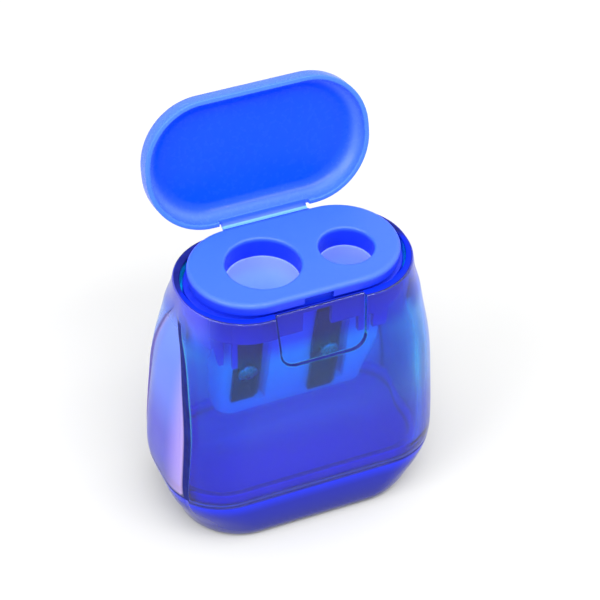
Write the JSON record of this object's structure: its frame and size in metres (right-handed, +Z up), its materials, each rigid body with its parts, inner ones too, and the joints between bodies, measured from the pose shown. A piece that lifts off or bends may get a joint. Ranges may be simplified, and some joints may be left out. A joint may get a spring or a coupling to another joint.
{
  "type": "pencil sharpener",
  "caption": "Hand-held double pencil sharpener in a see-through blue shavings container, with a lift-out head and a hinged lid.",
  "frame": {"origin": "centre of the container's flat underside", "axes": "+X along the long side towards the small hole, -Y the front with the thumb recess, +Z up out of the pencil holes"},
  "size_m": [0.0426, 0.0309, 0.0623],
  "materials": {
    "clear_blue_plastic": "clear, deep blue, polished",
    "head_blue_plastic": "satin",
    "lid_blue_plastic": "satin",
    "block_metal": "cast and machined",
    "blade_steel": "ground",
    "screw_steel": "turned"
  },
  "bodies": {
    "container": {"container_shell": "clear_blue_plastic", "container_base": "clear_blue_plastic"},
    "head": {"head_plate": "head_blue_plastic", "living_hinge": "lid_blue_plastic", "sharpener_block": "block_metal", "large_blade": "blade_steel", "small_blade": "blade_steel", "large_blade_screw": "screw_steel", "small_blade_screw": "screw_steel"},
    "lid": {"lid": "lid_blue_plastic"}
  },
  "joints": [
    {"name": "head_lift", "type": "slide", "parent": "container", "child": "head", "axis": [0, 0, 1], "range_m": [0, 0.03]},
    {"name": "lid_hinge", "type": "hinge", "parent": "head", "child": "lid", "pos_m": [0, 0.01055, 0.04233], "axis": [-1, 0, 0], "range_deg": [-104.5, 75]}
  ]
}
